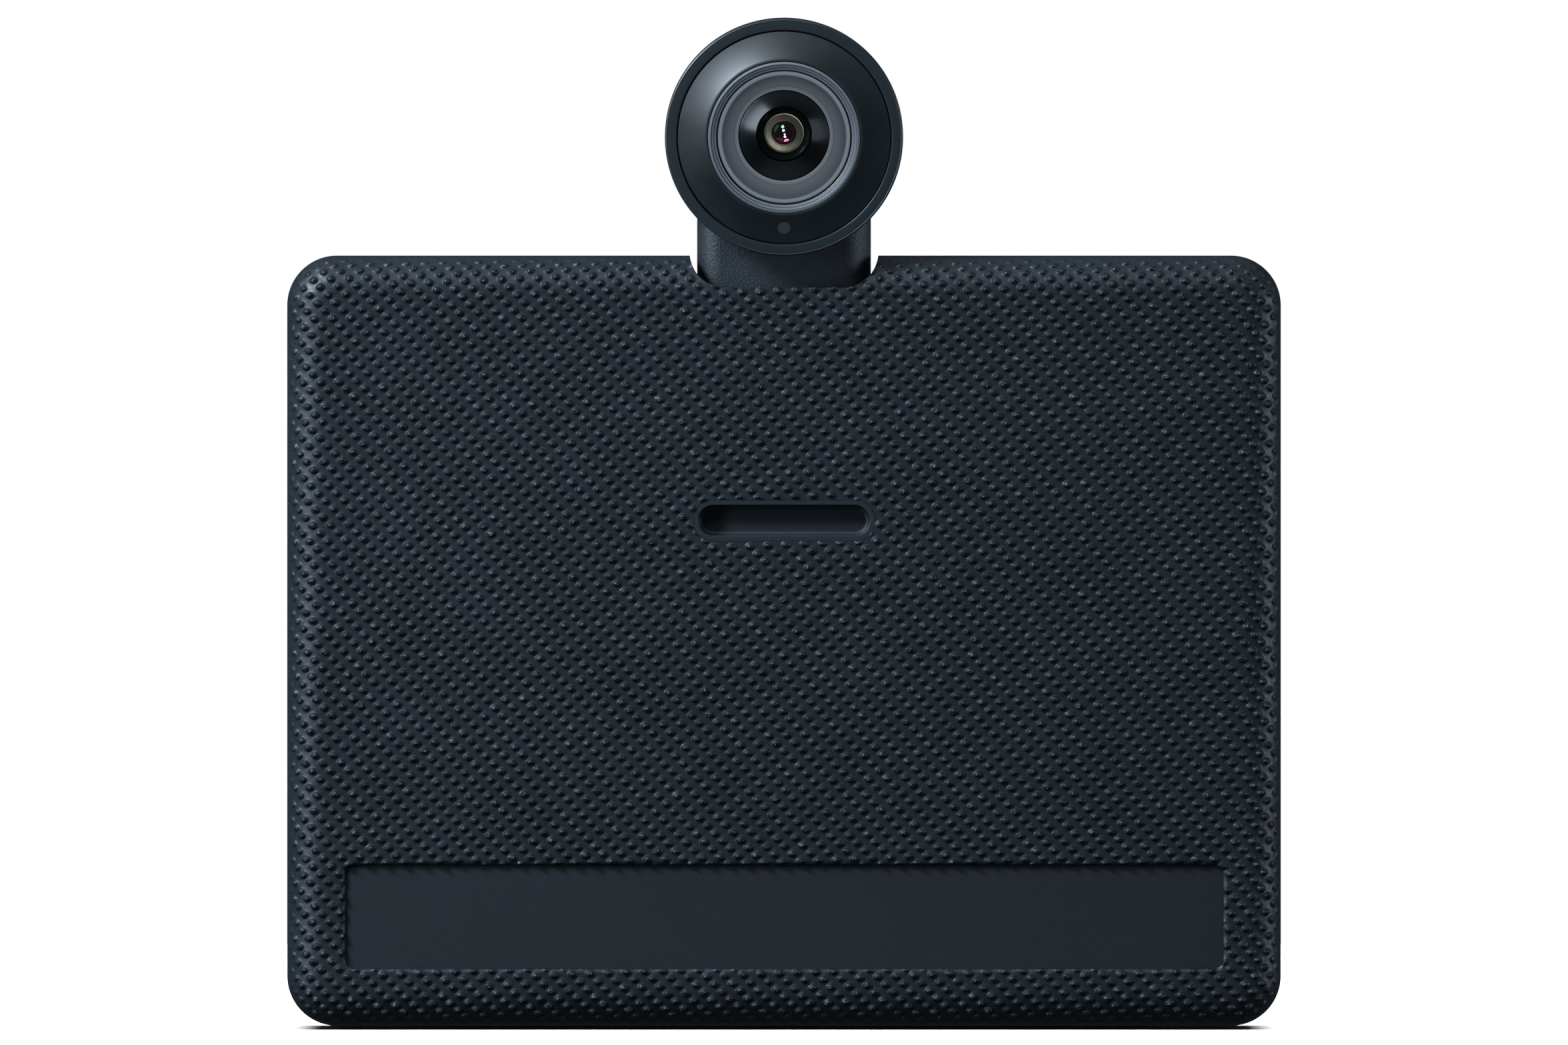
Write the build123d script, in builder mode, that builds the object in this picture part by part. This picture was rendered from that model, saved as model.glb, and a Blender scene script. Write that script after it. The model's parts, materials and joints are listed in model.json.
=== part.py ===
from build123d import *

import os
from math import atan2, cos, degrees, radians, sin

# Compact smart display with a camera head hinged on its top edge.
# Frame: +Z up, +X to the right as seen from behind, the textured back and the
# camera lens face -Y, the screen faces +Y.  The origin is the centre of the
# foot plane, on the table.

# ---------------------------------------------------------------- driving sizes
BODY_W = 149.2
BODY_H = 115.7
CORNER_R = 7.5
FOOT_H = 0.5                # underside of the case above the table
FOOT_PAD_L = 110.0
FOOT_PAD_W = 21.0
FOOT_PAD_R = 5.0
BASE_DEPTH = 36.0
TOP_DEPTH = 15.0
BACK_Y = -18.0
BACK_EDGE_R = 5.5           # rounding between the back and the sides

SKIN_T = 1.2                # moulded grip skin on the back
SKIN_WRAP = 7.0             # how far the skin reaches round the sides
WALL = 2.6                  # side walls of the rear shell
BACK_WALL = 2.2

BEZEL_T = 3.2
GLASS_T = 1.1
GLASS_W = 141.0
GLASS_H = 84.4
GLASS_UP = -0.8             # centre of the glass, measured up the leaning face
PANEL_W = 136.0
PANEL_H = 80.8
PANEL_T = 1.35
BACKLIGHT_T = 2.5
MID_FRAME_T = 1.0

SLOT_W = 25.7
SLOT_H = 4.5
SLOT_LIP = 0.8
SLOT_Z = 76.4
SLOT_DEPTH = 2.6
STRIP_W = 131.7
STRIP_H = 15.5
STRIP_R = 1.4
STRIP_Z = 16.95
STRIP_T = 0.5

NOTCH_HALF = 14.1           # half width of the notch at the top edge
NOTCH_FLOOR_HALF = 9.4
NOTCH_DEPTH = 4.9

NECK_W = 26.1
NECK_T = 8.0
NECK_EDGE_R = 3.6
PIVOT_Y = -10.6
PIVOT_Z = 107.0
PIN_R = 1.5
PIN_CLEARANCE = 0.04
WELL_HALF_DEPTH = 5.4       # free space for the neck each side of the pivot
WELL_FLOOR_Z = 102.5
WELL_WALL = 2.0
LEAN_RELIEF = 0.6           # extra room in the bezel on the screen side

HEAD_TILT = 6.5             # the lens looks this far below the horizon at rest
HEAD_Y = -23.0              # centre of the bezel's front face
HEAD_Z = 133.75
HEAD_R = 17.85
HOUSING_R = 17.0            # behind the bezel
HOUSING_END_R = 15.4        # at the back of the head
HOUSING_WALL = 1.6
HOUSING_DEPTH = 16.0
BEZEL_RING_T = 2.2

BUTTON_Y = -8.7
BUTTON_L = 11.6
BUTTON_W = 2.6
BUTTON_X = (36.0, 52.0)     # volume down, volume up
SLIDER_X = -46.0
SLIDER_TRAVEL = 3.0
FIT = 0.15                  # assembly gap between neighbouring parts

# ---------------------------------------------------------------- derived sizes
BOTTOM_Z = FOOT_H
TOP_Z = FOOT_H + BODY_H
MID_Z = (BOTTOM_Z + TOP_Z) / 2
FRONT_BASE_Y = BACK_Y + BASE_DEPTH
FRONT_TOP_Y = BACK_Y + TOP_DEPTH
LEAN = degrees(atan2(BASE_DEPTH - TOP_DEPTH, BODY_H))
SKIN_END_Y = BACK_Y + SKIN_WRAP
SHELL_BACK_Y = BACK_Y + SKIN_T
CAVITY_BACK_Y = SHELL_BACK_Y + BACK_WALL
CAVITY_TOP_Z = TOP_Z - WALL
CAVITY_BOTTOM_Z = BOTTOM_Z + WALL
NOTCH_FLOOR_Z = TOP_Z - NOTCH_DEPTH
HEAD_LIMIT_Z = 126.0        # top of the neck block, inside the camera housing

os.makedirs("parts", exist_ok=True)


def save(piece, label):
    """Label one finished piece and write its STEP file."""
    piece.part.label = label
    export_step(piece.part, f"parts/{label}.step")


def face_plane(depth, across=0.0, up=0.0):
    """Plane parallel to the leaning screen face, depth below its surface.

    Local x runs towards -X, local y up the face, the normal out of the screen."""
    c = cos(radians(LEAN))
    s = sin(radians(LEAN))
    mid_y = (FRONT_BASE_Y + FRONT_TOP_Y) / 2
    origin = (-across, mid_y - depth * c - up * s, MID_Z - depth * s + up * c)
    return Plane(origin=origin, x_dir=(-1, 0, 0), z_dir=(0, c, s))


SCREEN_OUT = Axis((0, 0, 0), (0, cos(radians(LEAN)), sin(radians(LEAN))))


def back_plane(y):
    """Vertical plane at depth y: local x is X, local y is Z, the normal is -Y."""
    return Plane.XZ.offset(-y)


def tilt_vector(reach):
    """Vector of the given length along the optical axis, out of the lens."""
    c = cos(radians(HEAD_TILT))
    s = sin(radians(HEAD_TILT))
    return Vector(0, -c * reach, -s * reach)


HEAD_CENTRE = Vector(0, HEAD_Y, HEAD_Z)
OPTICAL_AXIS = Axis(HEAD_CENTRE, tilt_vector(1))
LENS_PROFILE = Plane(
    origin=HEAD_CENTRE,
    x_dir=(1, 0, 0),
    z_dir=(0, sin(radians(HEAD_TILT)), -cos(radians(HEAD_TILT))),
)


def head_plane(reach):
    """Plane across the camera head; local y is up, the normal leaves the lens."""
    return Plane(origin=HEAD_CENTRE + tilt_vector(reach), x_dir=(1, 0, 0), z_dir=tilt_vector(1))


def turned(label, outline):
    """Piece turned about the optical axis from (radius, reach) points."""
    with BuildPart() as piece:
        with BuildSketch(LENS_PROFILE):
            with BuildLine():
                Polyline(*outline, close=True)
            make_face()
        revolve(axis=OPTICAL_AXIS)
    save(piece, label)
    return piece


# Notch in the top edge, cut through the full depth of the case.
NOTCH_KNEE = (12.75, TOP_Z - 3.1)
with BuildPart() as notch:
    with BuildSketch(back_plane(FRONT_BASE_Y)):
        with BuildLine():
            floor_end = (NOTCH_FLOOR_HALF, NOTCH_FLOOR_Z)
            rim = (NOTCH_HALF + 0.1, TOP_Z + 0.5)
            Line((0, NOTCH_FLOOR_Z), floor_end)
            ThreePointArc(floor_end, NOTCH_KNEE, rim)
            Polyline(rim, (NOTCH_HALF + 0.1, TOP_Z + 2), (0, TOP_Z + 2), (0, NOTCH_FLOOR_Z))
        make_face()
        mirror(about=Plane.YZ)
    extrude(amount=BASE_DEPTH + 2)


# ================================================================ rear shell
def body_block(inset, back_y, front_y, edge_r):
    """Upright block with the rounded outline of the case and a rounded back."""
    with BuildPart() as block:
        with BuildSketch(back_plane(front_y)):
            with Locations((0, MID_Z)):
                RectangleRounded(BODY_W - 2 * inset, BODY_H - 2 * inset, CORNER_R - inset)
        extrude(amount=front_y - back_y)
        if edge_r:
            fillet(block.faces().sort_by(Axis.Y)[0].edges(), edge_r)
    return block.part


with BuildPart() as rear_shell:
    add(body_block(SKIN_T, SHELL_BACK_Y, FRONT_BASE_Y, BACK_EDGE_R - SKIN_T))
    add(body_block(0, SKIN_END_Y, FRONT_BASE_Y, 0))
    add(body_block(WALL, CAVITY_BACK_Y, FRONT_BASE_Y + 1, 2.0), mode=Mode.SUBTRACT)
    # walls of the hinge well, reaching from the back wall to the bezel
    well_x = NOTCH_HALF + WELL_WALL
    well_floor = WELL_FLOOR_Z - 1.4
    with BuildSketch(back_plane(FRONT_BASE_Y)):
        with Locations((0, (well_floor + CAVITY_TOP_Z + 0.5) / 2)):
            Rectangle(2 * well_x, CAVITY_TOP_Z + 0.5 - well_floor)
    extrude(amount=FRONT_BASE_Y - CAVITY_BACK_Y + 0.5)
    # guide posts that carry the case screws
    with BuildSketch(back_plane(CAVITY_BACK_Y)):
        with Locations((-61, STRIP_Z), (61, STRIP_Z)):
            Circle(3.4)
    extrude(amount=-2.0)
    split(bisect_by=face_plane(BEZEL_T), keep=Keep.BOTTOM)
    add(notch.part, mode=Mode.SUBTRACT)
    with BuildSketch(Plane.XY.offset(WELL_FLOOR_Z)):
        with Locations((0, PIVOT_Y)):
            Rectangle(2 * NOTCH_HALF, 2 * WELL_HALF_DEPTH)
    extrude(amount=TOP_Z, mode=Mode.SUBTRACT)
    # pin holes through the well's side walls
    with BuildSketch(Plane.YZ.offset(-well_x - 1)):
        with Locations((PIVOT_Y, PIVOT_Z)):
            Circle(PIN_R + PIN_CLEARANCE)
    extrude(amount=2 * well_x + 2, mode=Mode.SUBTRACT)
    # cable slot and bracket screw holes in the well floor
    with BuildSketch(Plane.XY.offset(well_floor)):
        with Locations((0, PIVOT_Y)):
            SlotOverall(10, 2)
        with Locations((-10, PIVOT_Y), (10, PIVOT_Y)):
            Circle(0.82)
    extrude(amount=2.0, mode=Mode.SUBTRACT)
    # opening for the slot cup
    with BuildSketch(back_plane(CAVITY_BACK_Y + 1)):
        with Locations((0, SLOT_Z)):
            SlotOverall(SLOT_W + 2 * SLOT_LIP + 0.1, SLOT_H + 2 * SLOT_LIP + 0.1)
    extrude(amount=8, mode=Mode.SUBTRACT)
    # countersunk holes for the case screws, behind the smooth strip
    with Locations(*[Plane(origin=(x, SHELL_BACK_Y, STRIP_Z), z_dir=(0, -1, 0)) for x in (-61, 61)]):
        CounterSinkHole(radius=1.35, counter_sink_radius=2.5, depth=5)
    # button, slider and microphone openings in the top wall
    with BuildSketch(Plane.XY.offset(CAVITY_TOP_Z - 1)):
        with Locations(*[(x, BUTTON_Y) for x in BUTTON_X]):
            SlotOverall(BUTTON_L + 0.3, BUTTON_W + 0.3)
        with Locations((SLIDER_X, BUTTON_Y)):
            SlotOverall(9.4, BUTTON_W + 0.3)
        with Locations((-24, BUTTON_Y), (24, BUTTON_Y)):
            Circle(0.5)
    extrude(amount=WALL + 2, mode=Mode.SUBTRACT)
    # seat for the foot pad
    with BuildSketch(Plane.XY.offset(BOTTOM_Z)):
        RectangleRounded(FOOT_PAD_L + 0.2, FOOT_PAD_W + 0.2, FOOT_PAD_R + 0.1)
    extrude(amount=1.0, mode=Mode.SUBTRACT)
    # opening for the power inlet in the left side
    with BuildSketch(Plane.YZ.offset(-BODY_W / 2 - 1)):
        with Locations((0, 30)):
            SlotOverall(9.3, 3.6, rotation=90)
    extrude(amount=WALL + 2, mode=Mode.SUBTRACT)
save(rear_shell, "rear_shell")

# Soft textured skin moulded over the back and round its edges.
with BuildPart() as grip_skin:
    add(body_block(0, BACK_Y, SKIN_END_Y - 0.05, BACK_EDGE_R))
    add(body_block(SKIN_T, SHELL_BACK_Y, SKIN_END_Y + 1, BACK_EDGE_R - SKIN_T), mode=Mode.SUBTRACT)
    add(notch.part, mode=Mode.SUBTRACT)
    with BuildSketch(back_plane(SKIN_END_Y)):
        with Locations((0, SLOT_Z)):
            SlotOverall(SLOT_W + 2 * SLOT_LIP + 0.1, SLOT_H + 2 * SLOT_LIP + 0.1)
        with Locations((0, STRIP_Z)):
            RectangleRounded(STRIP_W, STRIP_H, STRIP_R)
    extrude(amount=SKIN_WRAP + 1, mode=Mode.SUBTRACT)
save(grip_skin, "grip_skin")

# Smooth recessed strip low on the back, which also hides the case screws.
with BuildPart() as smooth_strip:
    with BuildSketch(back_plane(SHELL_BACK_Y)):
        with Locations((0, STRIP_Z)):
            RectangleRounded(STRIP_W - 0.1, STRIP_H - 0.1, STRIP_R - 0.05)
    extrude(amount=STRIP_T)
save(smooth_strip, "smooth_strip")

# Moulded cup that lines the long slot in the middle of the back.
with BuildPart() as slot_cup:
    with BuildSketch(back_plane(CAVITY_BACK_Y)):
        with Locations((0, SLOT_Z)):
            SlotOverall(SLOT_W + 2 * SLOT_LIP, SLOT_H + 2 * SLOT_LIP)
    extrude(amount=CAVITY_BACK_Y - BACK_Y)
    with BuildSketch(back_plane(BACK_Y + SLOT_DEPTH)):
        with Locations((0, SLOT_Z)):
            SlotOverall(SLOT_W, SLOT_H)
    extrude(amount=SLOT_DEPTH, mode=Mode.SUBTRACT)
    fillet(slot_cup.faces().filter_by(Axis.Y).sort_by(Axis.Y)[1].edges(), 0.7)
    chamfer(slot_cup.faces().sort_by(Axis.Y)[0].inner_wires()[0].edges(), 0.15)
save(slot_cup, "slot_cup")

# ================================================================ screen side
GRILLE_UP = -49.5
BOSS_X = 69.9
BOSS_UP = (-36.0, 36.0)

with BuildPart() as front_bezel:
    with BuildSketch(back_plane(FRONT_BASE_Y + 1)):
        with Locations((0, MID_Z)):
            RectangleRounded(BODY_W, BODY_H, CORNER_R)
    extrude(amount=BASE_DEPTH)
    split(bisect_by=face_plane(0), keep=Keep.BOTTOM)
    split(bisect_by=face_plane(BEZEL_T), keep=Keep.TOP)
    fillet(front_bezel.faces().sort_by(SCREEN_OUT)[-1].edges(), 1.0)
    add(notch.part, mode=Mode.SUBTRACT)
    # relief behind the notch, for the neck when it leans towards the screen
    with BuildSketch(Plane.XY.offset(WELL_FLOOR_Z)):
        with Locations((0, PIVOT_Y)):
            Rectangle(2 * NOTCH_HALF, 2 * (WELL_HALF_DEPTH + LEAN_RELIEF))
    extrude(amount=TOP_Z, mode=Mode.SUBTRACT)
    # bosses for the mid frame and posts for the long case screws
    with BuildSketch(face_plane(BEZEL_T)):
        with GridLocations(2 * BOSS_X, BOSS_UP[1] - BOSS_UP[0], 2, 2):
            Circle(1.6)
    extrude(amount=-(GLASS_T + 0.1 + PANEL_T + BACKLIGHT_T + 0.15 - BEZEL_T))
    with BuildSketch(back_plane(CAVITY_BACK_Y + 2.1)):
        with Locations((-61, STRIP_Z), (61, STRIP_Z)):
            Circle(3.0)
    extrude(until=Until.NEXT, target=front_bezel.part, dir=(0, 1, 0))
    # seat for the glass, window for the panel
    with BuildSketch(face_plane(0, up=GLASS_UP)):
        RectangleRounded(GLASS_W + 2 * FIT, GLASS_H + 2 * FIT, 4.0)
    extrude(amount=-(GLASS_T + 0.05), mode=Mode.SUBTRACT)
    with BuildSketch(face_plane(0, up=GLASS_UP)):
        Rectangle(PANEL_W + 2 * FIT, PANEL_H + 2 * FIT)
    extrude(amount=-8, mode=Mode.SUBTRACT)
    # seat for the speaker grille and the sound opening behind it
    with BuildSketch(face_plane(0, up=GRILLE_UP)):
        SlotOverall(120.2, 8.2)
    extrude(amount=-0.9, mode=Mode.SUBTRACT)
    with BuildSketch(face_plane(0, up=GRILLE_UP)):
        SlotOverall(116, 5.6)
    extrude(amount=-8, mode=Mode.SUBTRACT)
    # pilot holes
    with BuildSketch(face_plane(BEZEL_T - 0.6)):
        with GridLocations(2 * BOSS_X, BOSS_UP[1] - BOSS_UP[0], 2, 2):
            Circle(0.82)
    extrude(amount=-8, mode=Mode.SUBTRACT)
    with BuildSketch(back_plane(CAVITY_BACK_Y + 12)):
        with Locations((-61, STRIP_Z), (61, STRIP_Z)):
            Circle(1.07)
    extrude(amount=20, mode=Mode.SUBTRACT)
save(front_bezel, "front_bezel")


def face_slab(label, width, height, radius, top, thick, up, across=0.0):
    """Flat rounded slab parallel to the screen face, its upper side at depth top."""
    with BuildPart() as slab:
        with BuildSketch(face_plane(top, across=across, up=up)):
            RectangleRounded(width, height, radius)
        extrude(amount=-thick)
    save(slab, label)
    return slab


PANEL_TOP = GLASS_T + 0.1
BACKLIGHT_TOP = PANEL_TOP + PANEL_T + 0.05
MID_FRAME_TOP = BACKLIGHT_TOP + BACKLIGHT_T + 0.1
BOARD_TOP = MID_FRAME_TOP + MID_FRAME_T + 2.0
BOARD_T = 1.2
BOARD_UP = 8.0
SHIELD_TOP = BOARD_TOP + BOARD_T

with BuildPart() as cover_glass:
    with BuildSketch(face_plane(0.05, up=GLASS_UP)):
        RectangleRounded(GLASS_W, GLASS_H, 3.9)
    extrude(amount=-GLASS_T)
    chamfer(cover_glass.faces().sort_by(SCREEN_OUT)[-1].edges(), 0.2)
save(cover_glass, "cover_glass")

face_slab("display_panel", PANEL_W, PANEL_H, 0.8, PANEL_TOP, PANEL_T, GLASS_UP)
face_slab("backlight_unit", PANEL_W, PANEL_H, 0.8, BACKLIGHT_TOP, BACKLIGHT_T, GLASS_UP)

with BuildPart() as mid_frame:
    with BuildSketch(face_plane(MID_FRAME_TOP)):
        RectangleRounded(142.6, 79, 3)
        with GridLocations(2 * BOSS_X, BOSS_UP[1] - BOSS_UP[0], 2, 2):
            Circle(0.95, mode=Mode.SUBTRACT)
        with Locations((0, -30)):
            SlotOverall(60, 8, mode=Mode.SUBTRACT)
    extrude(amount=-MID_FRAME_T)
    with BuildSketch(face_plane(MID_FRAME_TOP + MID_FRAME_T, up=BOARD_UP)):
        with GridLocations(96, 50, 2, 2):
            Circle(2.0)
    extrude(amount=-(BOARD_TOP - MID_FRAME_TOP - MID_FRAME_T))
    with BuildSketch(face_plane(MID_FRAME_TOP + MID_FRAME_T + 0.2, up=BOARD_UP)):
        with GridLocations(96, 50, 2, 2):
            Circle(0.82)
    extrude(amount=-8, mode=Mode.SUBTRACT)
save(mid_frame, "mid_frame")


def face_screws(label, centres, seat, shank_reach, up=0.0):
    """Pan head screws driven towards the screen, heads behind the given depth."""
    with BuildPart() as screws:
        with BuildSketch(face_plane(seat, up=up)):
            with GridLocations(centres[0], centres[1], 2, 2):
                Circle(1.6)
        extrude(amount=-0.8)
        fillet(screws.faces().sort_by(SCREEN_OUT)[0:4].edges(), 0.3)
        with BuildSketch(face_plane(seat, up=up)):
            with GridLocations(centres[0], centres[1], 2, 2):
                Circle(0.8)
        extrude(amount=shank_reach)
        with BuildSketch(face_plane(seat + 0.8, up=up)):
            with GridLocations(centres[0], centres[1], 2, 2):
                RegularPolygon(0.7, 6)
        extrude(amount=0.45, mode=Mode.SUBTRACT)
    save(screws, label)


face_screws("mid_frame_screws", (2 * BOSS_X, BOSS_UP[1] - BOSS_UP[0]), MID_FRAME_TOP + MID_FRAME_T, 3.2)

with BuildPart() as main_board:
    with BuildSketch(face_plane(BOARD_TOP, up=BOARD_UP)):
        RectangleRounded(104, 58, 2)
        with GridLocations(96, 50, 2, 2):
            Circle(0.95, mode=Mode.SUBTRACT)
    extrude(amount=-BOARD_T)
save(main_board, "main_board")
face_screws("board_screws", (96, 50), BOARD_TOP + BOARD_T, 2.9, up=BOARD_UP)

with BuildPart() as processor_shield:
    with BuildSketch(face_plane(SHIELD_TOP, up=BOARD_UP)):
        RectangleRounded(36, 32, 1)
    extrude(amount=-2.4)
    with BuildSketch(face_plane(SHIELD_TOP, up=BOARD_UP)):
        RectangleRounded(35.4, 31.4, 0.7)
    extrude(amount=-2.1, mode=Mode.SUBTRACT)
save(processor_shield, "processor_shield")
face_slab("processor_chip", 14, 14, 0.3, SHIELD_TOP, 1.6, BOARD_UP)
face_slab("heat_spreader", 62, 44, 2, SHIELD_TOP + 2.4, 0.6, BOARD_UP)
face_slab("camera_flex", 8, 13, 0.5, SHIELD_TOP, 0.2, 34.5)
face_slab("display_flex", 20, 14, 0.5, MID_FRAME_TOP + MID_FRAME_T, 0.2, -31, across=40)

# Speaker enclosure behind the grille, with two flat drivers.
SPEAKER_UP = -47.9
SPEAKER_TOP = 3.3
DRIVER_X = 24.0
with BuildPart() as speaker_box:
    with BuildSketch(face_plane(SPEAKER_TOP, up=SPEAKER_UP)):
        RectangleRounded(104, 9.6, 1.5)
    extrude(amount=-13)
    with BuildSketch(face_plane(SPEAKER_TOP + 4, up=SPEAKER_UP)):
        RectangleRounded(101.6, 7.2, 0.6)
    extrude(amount=-7.8, mode=Mode.SUBTRACT)
    with BuildSketch(face_plane(SPEAKER_TOP, up=SPEAKER_UP)):
        with GridLocations(2 * DRIVER_X, 0, 2, 1):
            RectangleRounded(32.2, 7.2, 1.2)
    extrude(amount=-6, mode=Mode.SUBTRACT)
save(speaker_box, "speaker_box")

for label, x in (("speaker_driver_left", -DRIVER_X), ("speaker_driver_right", DRIVER_X)):
    with BuildPart() as driver:
        with BuildSketch(face_plane(SPEAKER_TOP + 0.3, across=x, up=SPEAKER_UP)):
            RectangleRounded(32, 7, 1.1)
        extrude(amount=-3)
        with BuildSketch(face_plane(SPEAKER_TOP + 0.3, across=x, up=SPEAKER_UP)):
            RectangleRounded(29, 5.2, 1.0)
        extrude(amount=-0.9, taper=35, mode=Mode.SUBTRACT)
    save(driver, label)

with BuildPart() as speaker_grille:
    with BuildSketch(face_plane(0.1, up=GRILLE_UP)):
        SlotOverall(120, 8)
        with GridLocations(2.4, 1.7, 47, 3):
            Circle(0.5, mode=Mode.SUBTRACT)
    extrude(amount=-0.8)
save(speaker_grille, "speaker_grille")

# Rubber foot pad in its seat.
with BuildPart() as foot_pad:
    with BuildSketch(Plane.XY):
        RectangleRounded(FOOT_PAD_L, FOOT_PAD_W, FOOT_PAD_R)
    extrude(amount=FOOT_H + 1.0)
    chamfer(foot_pad.faces().sort_by(Axis.Z)[0].edges(), 0.2)
save(foot_pad, "foot_pad")

# Two long case screws driven from behind, hidden by the smooth strip.
with BuildPart() as case_screws:
    for x in (-61, 61):
        with BuildSketch(Plane(origin=(x, SHELL_BACK_Y + 0.15, STRIP_Z), x_dir=(1, 0, 0), z_dir=(0, 0, 1))):
            with BuildLine():
                Polyline((0, 0), (2.3, 0), (1.0, 1.3), (1.0, 10), (0, 10.6), close=True)
            make_face()
        revolve(axis=Axis((x, SHELL_BACK_Y, STRIP_Z), (0, 1, 0)))
        with BuildSketch(Plane(origin=(x, SHELL_BACK_Y + 0.15, STRIP_Z), z_dir=(0, -1, 0))):
            RegularPolygon(0.9, 6)
        extrude(amount=-0.9, mode=Mode.SUBTRACT)
save(case_screws, "case_screws")

# ================================================================ top edge controls
for label, x in (("volume_down_button", BUTTON_X[0]), ("volume_up_button", BUTTON_X[1])):
    with BuildPart() as button:
        with BuildSketch(Plane.XY.offset(CAVITY_TOP_Z - 0.1)):
            with Locations((x, BUTTON_Y)):
                SlotOverall(BUTTON_L, BUTTON_W)
        extrude(amount=WALL + 0.05)
        fillet(button.faces().sort_by(Axis.Z)[-1].edges(), 0.3)
        with BuildSketch(Plane.XY.offset(CAVITY_TOP_Z - 0.8)):
            with Locations((x, BUTTON_Y)):
                SlotOverall(BUTTON_L + 1.6, BUTTON_W + 1.4)
        extrude(amount=0.7)
    save(button, label)

BUTTON_BOARD_Z = 110.6
with BuildPart() as button_board:
    with BuildSketch(Plane.XY.offset(BUTTON_BOARD_Z)):
        with Locations((sum(BUTTON_X) / 2, BUTTON_Y - 0.2)):
            RectangleRounded(30, 5.6, 0.8)
    extrude(amount=0.8)
save(button_board, "button_board")

with BuildPart() as tact_switches:
    with BuildSketch(Plane.XY.offset(BUTTON_BOARD_Z + 0.8)):
        with Locations(*[(x, BUTTON_Y) for x in BUTTON_X]):
            RectangleRounded(3.4, 3.4, 0.3)
    extrude(amount=0.5)
    with BuildSketch(Plane.XY.offset(BUTTON_BOARD_Z + 1.3)):
        with Locations(*[(x, BUTTON_Y) for x in BUTTON_X]):
            Circle(1.0)
    extrude(amount=0.3)
save(tact_switches, "tact_switches")

with BuildPart() as mute_slider:
    with BuildSketch(Plane.XY.offset(CAVITY_TOP_Z - 0.1)):
        with Locations((SLIDER_X - SLIDER_TRAVEL / 2, BUTTON_Y)):
            SlotOverall(5.6, BUTTON_W)
    extrude(amount=WALL - 0.3)
    fillet(mute_slider.faces().sort_by(Axis.Z)[-1].edges(), 0.3)
    with BuildSketch(Plane.XY.offset(CAVITY_TOP_Z - 0.8)):
        with Locations((SLIDER_X - SLIDER_TRAVEL / 2, BUTTON_Y)):
            RectangleRounded(13, BUTTON_W + 1.4, 0.5)
    extrude(amount=0.7)
save(mute_slider, "mute_slider")

with BuildPart() as mute_switch:
    with BuildSketch(Plane.XY.offset(BUTTON_BOARD_Z)):
        with Locations((SLIDER_X, BUTTON_Y - 0.2)):
            RectangleRounded(16, 5.6, 0.8)
    extrude(amount=0.8)
    with BuildSketch(Plane.XY.offset(BUTTON_BOARD_Z + 0.8)):
        with Locations((SLIDER_X, BUTTON_Y)):
            Rectangle(9, 3.4)
    extrude(amount=0.9)
save(mute_switch, "mute_switch")

for label, x in (("microphone_left", -24.0), ("microphone_right", 24.0)):
    with BuildPart() as microphone:
        with BuildSketch(Plane.XY.offset(CAVITY_TOP_Z - 0.9)):
            with Locations((x, BUTTON_Y)):
                RectangleRounded(7, 4.4, 0.5)
                Circle(0.4, mode=Mode.SUBTRACT)
        extrude(amount=0.8)
        with BuildSketch(Plane.XY.offset(CAVITY_TOP_Z - 1.9)):
            with Locations((x, BUTTON_Y)):
                RectangleRounded(4, 3, 0.4)
        extrude(amount=1.0)
    save(microphone, label)

# ================================================================ power inlet
INLET_X = -BODY_W / 2 + 0.4
with BuildPart() as power_inlet:
    with BuildSketch(Plane.YZ.offset(INLET_X)):
        with Locations((0, 30)):
            SlotOverall(9.1, 3.4, rotation=90)
    extrude(amount=7.4)
    with BuildSketch(Plane.YZ.offset(INLET_X)):
        with Locations((0, 30)):
            SlotOverall(8.5, 2.8, rotation=90)
    extrude(amount=6.4, mode=Mode.SUBTRACT)
    with BuildSketch(Plane.YZ.offset(INLET_X + 1.2)):
        with Locations((0, 30)):
            Rectangle(0.7, 6.6)
    extrude(amount=5.4)
save(power_inlet, "power_inlet")

with BuildPart() as inlet_board:
    with BuildSketch(Plane.XZ.offset(-1.75)):
        with Locations((INLET_X + 8.2, 30)):
            RectangleRounded(11, 16, 1)
    extrude(amount=-1.0)
save(inlet_board, "inlet_board")

# ================================================================ camera hinge
BRACKET_T = 1.2
bracket_x = well_x + 0.1
with BuildPart() as hinge_bracket:
    with BuildSketch(Plane.XY.offset(well_floor - 0.05)):
        with Locations((0, PIVOT_Y)):
            Rectangle(2 * (bracket_x + BRACKET_T), 7)
            SlotOverall(11, 3, mode=Mode.SUBTRACT)
        with Locations((-10, PIVOT_Y), (10, PIVOT_Y)):
            Circle(0.95, mode=Mode.SUBTRACT)
    extrude(amount=-BRACKET_T)
    for start in (-bracket_x - BRACKET_T, bracket_x):
        with BuildSketch(Plane.YZ.offset(start)):
            with Locations((PIVOT_Y, (well_floor - 0.05 - BRACKET_T + PIVOT_Z) / 2)):
                Rectangle(7, PIVOT_Z - well_floor + 0.05 + BRACKET_T)
            with Locations((PIVOT_Y, PIVOT_Z)):
                Circle(3.5)
                Circle(PIN_R + 0.02, mode=Mode.SUBTRACT)
        extrude(amount=BRACKET_T)
save(hinge_bracket, "hinge_bracket")

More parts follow.
